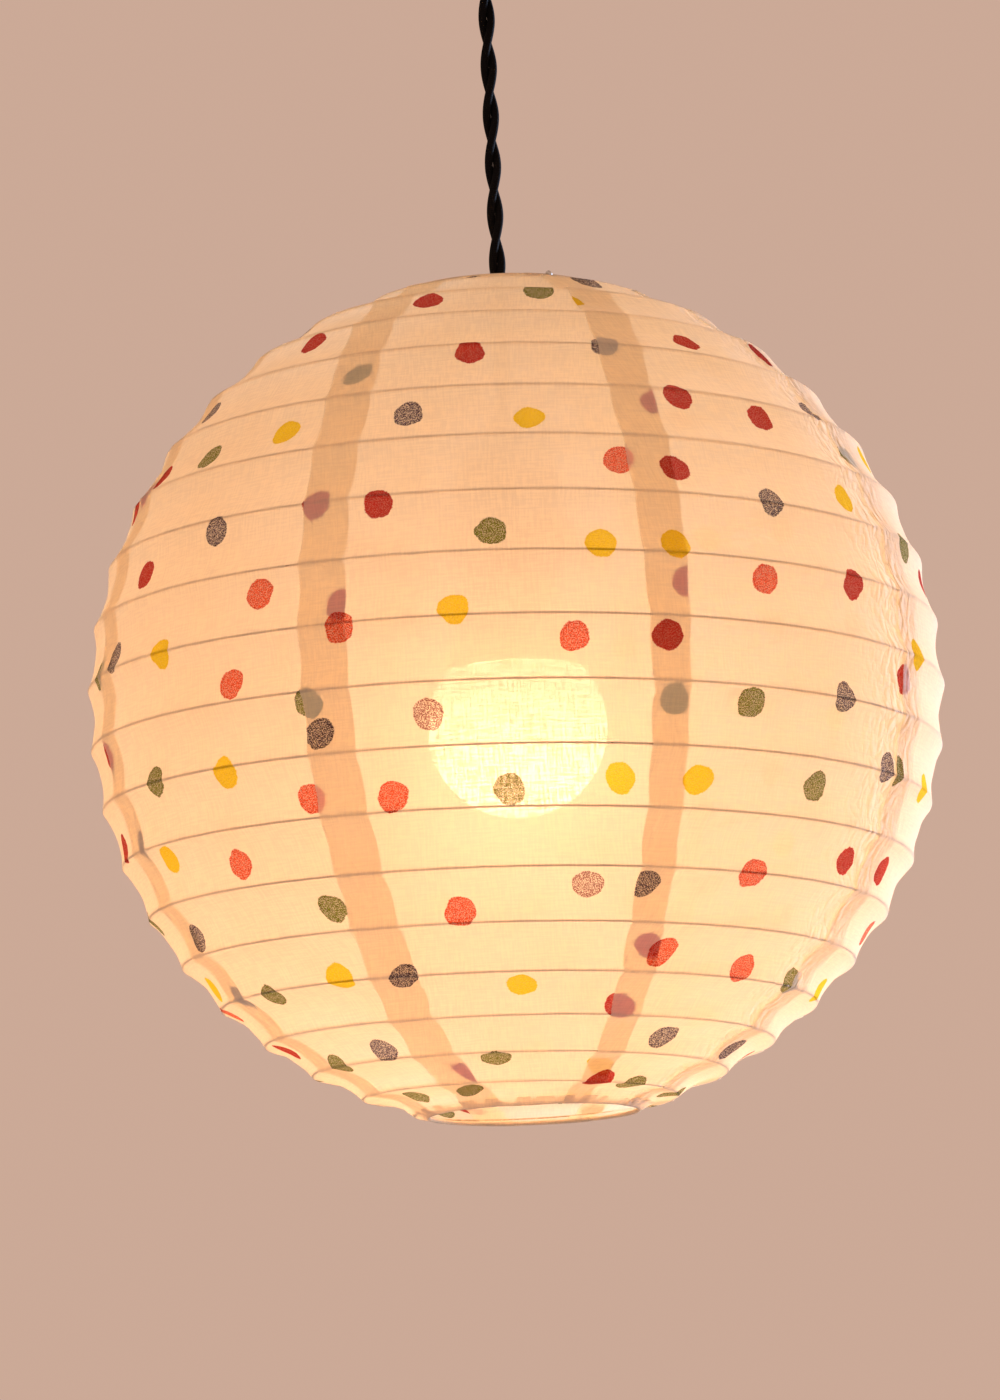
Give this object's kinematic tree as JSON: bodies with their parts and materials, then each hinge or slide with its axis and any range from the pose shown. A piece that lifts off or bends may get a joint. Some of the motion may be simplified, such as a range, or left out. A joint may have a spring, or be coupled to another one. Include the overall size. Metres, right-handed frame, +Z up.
{
  "type": "cloth ball lantern",
  "caption": "Round folding cloth lantern shade with a globe bulb, hung on a twisted textile flex from a ceiling rose.",
  "frame": {"origin": "centre of the ceiling rose's flat back, on the ceiling", "axes": "+Z up into the ceiling along the flex, -Y towards the front, +X to the front's right"},
  "size_m": [0.3484, 0.3484, 0.5106],
  "materials": {
    "cloth": "thin woven cotton with hand-painted dots",
    "coated_wire": "grey coated spring wire",
    "flex_braid": "black textile braid",
    "black_plastic": "satin moulded",
    "white_plastic": "satin moulded",
    "ceramic": "glazed insulator",
    "opal": "opal diffuser",
    "circuit_board": "printed circuit board",
    "plated_steel": "nickel plated",
    "aluminium": "coated board",
    "brass": "plain"
  },
  "bodies": {
    "rose": {"rose_base": "black_plastic", "rose_cover": "black_plastic", "rose_screw_left": "plated_steel", "rose_screw_right": "plated_steel", "rose_terminal_block": "white_plastic", "rose_terminal_screw_left": "brass", "rose_terminal_screw_right": "brass", "rose_cord_grip": "black_plastic"},
    "flex": {"twisted_flex": "flex_braid"},
    "lampholder": {"holder_cap": "black_plastic", "holder_cord_grip": "black_plastic", "holder_shell": "black_plastic", "holder_insulator": "ceramic", "screw_liner": "plated_steel", "centre_contact": "brass", "holder_terminal_left": "brass", "holder_terminal_right": "brass"},
    "ring_nut": {"shade_ring_nut": "black_plastic"},
    "bulb_contact": {"bulb_insulator": "black_plastic", "bulb_tip_contact": "plated_steel"},
    "bulb": {"bulb_globe": "opal", "bulb_collar": "white_plastic", "bulb_led_board": "aluminium", "bulb_driver_board": "circuit_board", "bulb_screw_cap": "plated_steel"},
    "shade": {"shade_carrier": "plated_steel", "top_ring": "coated_wire", "rib_spiral": "coated_wire", "gore_1": "cloth", "gore_2": "cloth", "gore_3": "cloth", "gore_4": "cloth", "gore_5": "cloth", "gore_6": "cloth", "gore_7": "cloth", "gore_8": "cloth"},
    "shade_foot": {"bottom_ring": "coated_wire"}
  },
  "joints": [
    {"name": "cord_swing", "type": "hinge", "parent": "rose", "child": "flex", "pos_m": [0, 0, -0.03185], "axis": [0, 1, 0], "range_deg": [-25, 25]},
    {"name": "holder_tilt", "type": "hinge", "parent": "flex", "child": "lampholder", "pos_m": [0, 0, -0.226], "axis": [1, 0, 0], "range_deg": [-20, 20]},
    {"name": "shade_turn", "type": "hinge", "parent": "lampholder", "child": "shade", "pos_m": [0, 0, -0.34], "axis": [0, 0, 1], "continuous": true},
    {"name": "shade_collapse", "type": "slide", "parent": "shade", "child": "shade_foot", "axis": [0, 0, 1], "range_m": [0, 0.295], "deforming": ["rib_spiral", "gore_1", "gore_2", "gore_3", "gore_4", "gore_5", "gore_6", "gore_7", "gore_8"]},
    {"name": "ring_nut_travel", "type": "slide", "parent": "lampholder", "child": "ring_nut", "axis": [0, 0, -1], "range_m": [0, 0.012]},
    {"name": "bulb_travel", "type": "slide", "parent": "lampholder", "child": "bulb_contact", "axis": [0, 0, -1], "range_m": [0, 0.0182]},
    {"name": "bulb_turn", "type": "hinge", "parent": "bulb_contact", "child": "bulb", "pos_m": [0, 0, -0.34], "axis": [0, 0, -1], "range_deg": [0, 1800]}
  ],
  "couplings": [
    {"joint": "bulb_travel", "follows": "bulb_turn", "m_per_rad": 0.00057773}
  ]
}
